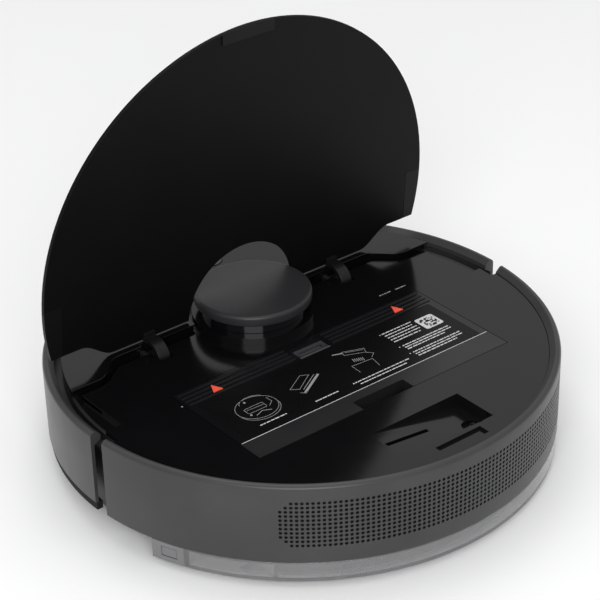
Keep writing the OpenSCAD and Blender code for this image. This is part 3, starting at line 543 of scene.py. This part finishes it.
def make_main_brush():
    lo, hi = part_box("main_brush_bristles")
    x0, x1 = lo.x / MM, hi.x / MM
    cy, cz = (lo.y + hi.y) / 2 / MM, (lo.z + hi.z) / 2 / MM
    r_out = (hi.z - lo.z) / 2 / MM - 0.1
    r_root = 8.6                # where the tufts leave the core
    w = 0.26                    # half the width of a strand
    vee = 50                    # degrees that the V-shaped rows lag at the ends
    b = Builder()
    rows, tufts, strands = 6, 46, 5
    for row in range(rows):
        for k in range(tufts):
            t = (k + 0.5) / tufts
            turn = row * 360 / rows + vee * abs(2 * t - 1)
            for _ in range(strands):
                a = math.radians(turn + rnd.uniform(-6, 6))
                x = x0 + 2 + t * (x1 - x0 - 4) + rnd.uniform(-1.3, 1.3)
                lean = rnd.uniform(-0.8, 0.8)
                side = (-math.sin(a) * w, math.cos(a) * w)
                base = (cy + r_root * math.cos(a), cz + r_root * math.sin(a))
                r_tip = r_out - rnd.uniform(0.0, 0.5)
                tip = (cy + r_tip * math.cos(a), cz + r_tip * math.sin(a))
                v = [(x - w, base[0] - side[0], base[1] - side[1]),
                     (x + w, base[0] - side[0], base[1] - side[1]),
                     (x, base[0] + side[0], base[1] + side[1]),
                     (x + lean - w, tip[0] - side[0] * 0.6, tip[1] - side[1] * 0.6),
                     (x + lean + w, tip[0] - side[0] * 0.6, tip[1] - side[1] * 0.6),
                     (x + lean, tip[0] + side[0] * 0.6, tip[1] + side[1] * 0.6)]
                b.add(v, [[0, 1, 2], [5, 4, 3], [0, 3, 4, 1], [1, 4, 5, 2], [2, 5, 3, 0]])
    o = b.make("brush_bristle_rows", MAT["bristle"], "main_brush")
    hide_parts("main_brush_bristles")


def make_side_brush():
    lo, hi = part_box("side_brush_hub")
    cx, cy = (lo.x + hi.x) / 2 / MM, (lo.y + hi.y) / 2 / MM
    zlo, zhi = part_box("side_brush_bristles")
    z0, z1 = zlo.z / MM, zhi.z / MM
    reach = 55.6                # longest filament, from the hub's axis
    w = 0.17                    # half the width of a filament
    root, steps = 18, 5         # where filaments leave the arm, and points along each
    b, c = Builder(), Builder()
    for arm in (-8, 112, 232):
        for _ in range(70):
            a = math.radians(arm + rnd.gauss(0, 1.0))
            spread = math.radians(rnd.uniform(-2.6, 2.6))
            end = reach - rnd.uniform(0, 3.0)
            zs, ze = rnd.uniform(z0 + 0.6, z1 - 0.4), rnd.uniform(z0 + 0.15, z1 - 0.5)
            pts = []
            for s in range(steps):
                t = s / (steps - 1)
                rr = root + (end - root) * t
                aa = a + spread * t
                pts.append((cx + rr * math.cos(aa), cy + rr * math.sin(aa), zs + (ze - zs) * t))
            v, f = [], []
            nx, ny = -math.sin(a) * w, math.cos(a) * w
            for p in pts:
                v += [(p[0] - nx, p[1] - ny, p[2] - w * 0.6), (p[0] + nx, p[1] + ny, p[2] - w * 0.6),
                      (p[0], p[1], p[2] + w)]
            for s in range(steps - 1):
                for e in range(3):
                    g = (e + 1) % 3
                    f.append([3 * s + e, 3 * s + g, 3 * s + 3 + g, 3 * s + 3 + e])
            f += [[2, 1, 0], [12, 13, 14]]
            b.add(v, f)
        a = math.radians(arm)
        ux, uy = math.cos(a), math.sin(a)
        outline = [(7.2, -2.4), (19, -1.7), (21, -0.9), (21, 0.9), (19, 1.7), (7.2, 2.4)]
        c.prism([(cx + r * ux - t * uy, cy + r * uy + t * ux) for r, t in outline], z0 + 0.1, z1 - 0.05)
    o = b.make("side_brush_filaments", MAT["bristle"], "side_brush")
    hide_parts("side_brush_bristles")
    arms = c.make("side_brush_arms", MAT["bristle_light"], "side_brush")


def make_filter():
    lo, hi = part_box("hepa_filter")
    x0, x1, y0, y1, z0, z1 = (v / MM for v in (lo.x, hi.x, lo.y, hi.y, lo.z, hi.z))
    folds = 34
    front, back = [], []
    for k in range(2 * folds + 1):
        x = x0 + (x1 - x0) * k / (2 * folds)
        y = y0 + 0.5 if k % 2 else y1 - 0.5
        front.append((x, y - 0.2))
        back.append((x, y + 0.2))
    b = Builder()
    outline = front + back[::-1]
    n = len(outline)
    verts = [(x, y, z0 + 0.1) for x, y in outline] + [(x, y, z1 - 0.1) for x, y in outline]
    faces = [[i, (i + 1) % n, n + (i + 1) % n, n + i] for i in range(n)]
    m = len(front)
    for k in range(m - 1):
        a, c, d, e = k, k + 1, n - 2 - k, n - 1 - k
        faces.append([a, c, d, e])
        faces.append([n + a, n + c, n + d, n + e])
    b.add(verts, faces)
    o = b.make("filter_pleats", MAT["paper"], "dustbin")
    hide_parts("hepa_filter")


def make_cloth():
    """The mop cloth: a looped pad with a sewn edge, on the CAD cloth's own outline."""
    lo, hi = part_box("mop_cloth")
    z0, z1 = lo.z / MM, hi.z / MM
    y_front = hi.y / MM
    r = -lo.y / MM
    half = math.degrees(math.acos(-y_front / r))
    outline = arc(0, 0, r, -90 - half, -90 + half, 72)
    centre = (0, (y_front - r) / 2)
    rings, n_edge = 34, 40
    reach = 55                     # distance from the centre to the rim that the borders are measured on
    roll, roll_h = 2.0, 0.9        # width and depth of the rounded rim
    seam_from, seam_to, seam_h = 4.2, 6.2, 0.55
    loop_h, pile = 0.22, 0.30      # height of the loops, and their mean distance above the pad's bottom
    verts, faces = [], []
    left_x, right_x = outline[-1][0], outline[0][0]
    edge = [(left_x + (right_x - left_x) * k / n_edge, y_front) for k in range(1, n_edge)]
    loop = outline + edge
    n = len(loop)
    for side in (0, 1):
        for k in range(rings + 1):
            t = k / rings
            for x, y in loop:
                px, py = centre[0] + (x - centre[0]) * t, centre[1] + (y - centre[1]) * t
                border = (1 - t) * reach
                rim = roll_h * max(0, 1 - border / roll) ** 2
                if side:
                    z = z1 - 0.05 - rim
                else:
                    seam = seam_h if seam_from < border < seam_to else 0.0
                    loops = loop_h * math.sin(px * 1.9) * math.sin(py * 1.9 + 1.3 * math.sin(px * 0.35))
                    z = z0 + pile + seam + loops + rim
                verts.append((px, py, z))
    m = (rings + 1) * n
    for side in (0, 1):
        for k in range(1, rings):
            for i in range(n):
                j = (i + 1) % n
                a, b2 = side * m + k * n, side * m + (k + 1) * n
                quad = [a + i, a + j, b2 + j, b2 + i]
                faces.append(quad if not side else quad[::-1])
        faces.append([side * m + n + i for i in range(n)][::-1 if not side else 1])
    for i in range(n):
        j = (i + 1) % n
        a, b2 = rings * n, m + rings * n
        faces.append([a + i, a + j, b2 + j, b2 + i])
    b = Builder()
    b.add(verts, faces)
    o = b.make("mop_pad", MAT["cloth"], "tank", smooth=True)
    # The innermost ring has no faces of its own
    bm = bmesh.new()
    bm.from_mesh(o.data)
    loose = [v for v in bm.verts if not v.link_faces]
    bmesh.ops.delete(bm, geom=loose, context="VERTS")
    bm.to_mesh(o.data)
    bm.free()
    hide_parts("mop_cloth")


make_main_brush()
make_side_brush()
make_filter()
make_cloth()


# ---------- small parts on the circuit board ----------

def make_board_parts():
    lo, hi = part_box("main_board")
    z = lo.z / MM
    x0, x1, y0, y1 = (v / MM for v in (lo.x, hi.x, lo.y, hi.y))
    b = Builder()
    gap = 0.01                     # between the board and what is on it
    # Place, width, depth and height of the larger parts
    for x, y, w, d, h in ((-30, 12, 14, 14, 1.8), (8, 14, 10, 12, 1.4), (36, 10, 7, 9, 1.2),
                          (-54, 20, 8, 6, 1.5), (52, 22, 12, 5, 4.0), (-8, 28, 16, 4, 3.6)):
        b.box((x - w / 2, y0 + y - d / 2, z - h), (x + w / 2, y0 + y + d / 2, z - gap))
    for _ in range(26):
        x, y = rnd.uniform(x0 + 4, x1 - 4), rnd.uniform(y0 + 3, y1 - 3)
        b.box((x, y, z - 0.6), (x + 1.6, y + 0.8, z - gap))
    b.make("board_chips", MAT["chip"], "body")


make_board_parts()


# ---------- stage ----------

FLOOR_HALF = 6.0                   # half the floor's width, m
SKY = 0.72                         # strength of the world
AIM = (0, 0, 0.05)                 # what the lights point at, m


def make_stage():
    bm = bmesh.new()
    bmesh.ops.create_grid(bm, x_segments=1, y_segments=1, size=FLOOR_HALF)
    mesh = bpy.data.meshes.new("floor")
    bm.to_mesh(mesh)
    bm.free()
    floor = bpy.data.objects.new("floor", mesh)
    bpy.context.scene.collection.objects.link(floor)
    m = bpy.data.materials.new("floor_pale")
    m.use_nodes = True
    nt = m.node_tree
    shader = nt.nodes["Principled BSDF"]
    shader.inputs["Base Color"].default_value = (0.93, 0.93, 0.93, 1)
    shader.inputs["Roughness"].default_value = 0.9
    shader.inputs["Specular IOR Level"].default_value = 0.1
    # From below the floor is clear, so that the underside can be looked at
    side = node(nt, "ShaderNodeNewGeometry").outputs["Backfacing"]
    pick = node(nt, "ShaderNodeMixShader")
    nt.links.new(side, pick.inputs["Fac"])
    nt.links.new(shader.outputs["BSDF"], pick.inputs[1])
    nt.links.new(node(nt, "ShaderNodeBsdfTransparent").outputs["BSDF"], pick.inputs[2])
    nt.links.new(pick.outputs["Shader"], nt.nodes["Material Output"].inputs["Surface"])
    mesh.materials.append(m)

    world = bpy.data.worlds.new("studio")
    bpy.context.scene.world = world
    world.use_nodes = True
    nt = world.node_tree
    nt.nodes["Background"].inputs["Strength"].default_value = SKY
    coords = node(nt, "ShaderNodeTexCoord").outputs["Generated"]
    split = node(nt, "ShaderNodeSeparateXYZ")
    nt.links.new(coords, split.inputs["Vector"])
    sky = ramp(nt, split.outputs["Z"], (0.45, 0.45, 0.46), (1, 1, 1), 0.15, 0.75)
    nt.links.new(sky, nt.nodes["Background"].inputs["Color"])

    def area(name, place, size, power):
        light = bpy.data.lights.new(name, "AREA")
        light.shape = "RECTANGLE"
        light.size, light.size_y = size
        light.energy = power
        o = bpy.data.objects.new(name, light)
        o.location = place
        o.rotation_euler = (Vector(AIM) - Vector(place)).to_track_quat("-Z", "Y").to_euler()
        bpy.context.scene.collection.objects.link(o)

    area("key", (-1.3, -1.6, 1.3), (1.5, 1.0), 32)
    area("top", (0.2, 0.5, 2.2), (1.4, 1.4), 12)


def make_camera():
    """A camera that looks at the body from the left of its rear, as the photo does."""
    azimuth, elevation, roll = math.radians(-38.4), math.radians(31.7), math.radians(-1.2)
    distance = 1.3938              # m from the target
    target = Vector((0, 0, 0.060))
    place = target + distance * Vector((math.sin(azimuth) * math.cos(elevation),
                                        -math.cos(azimuth) * math.cos(elevation), math.sin(elevation)))
    forward = (target - place).normalized()
    side = forward.cross(Vector((0, 0, 1))).normalized()
    up = side.cross(forward)
    right = math.cos(roll) * side + math.sin(roll) * up
    over = -math.sin(roll) * side + math.cos(roll) * up
    camera = bpy.data.cameras.new("camera")
    camera.lens, camera.sensor_width = 122.7, 36
    camera.shift_x, camera.shift_y = -0.003, 0.100
    camera.clip_end = 30
    o = bpy.data.objects.new("camera", camera)
    turn = Matrix((right, over, -forward)).transposed()
    o.matrix_world = Matrix.Translation(place) @ turn.to_4x4()
    bpy.context.scene.collection.objects.link(o)
    bpy.context.scene.camera = o


make_stage()
make_camera()
bpy.context.scene.view_settings.view_transform = "Standard"
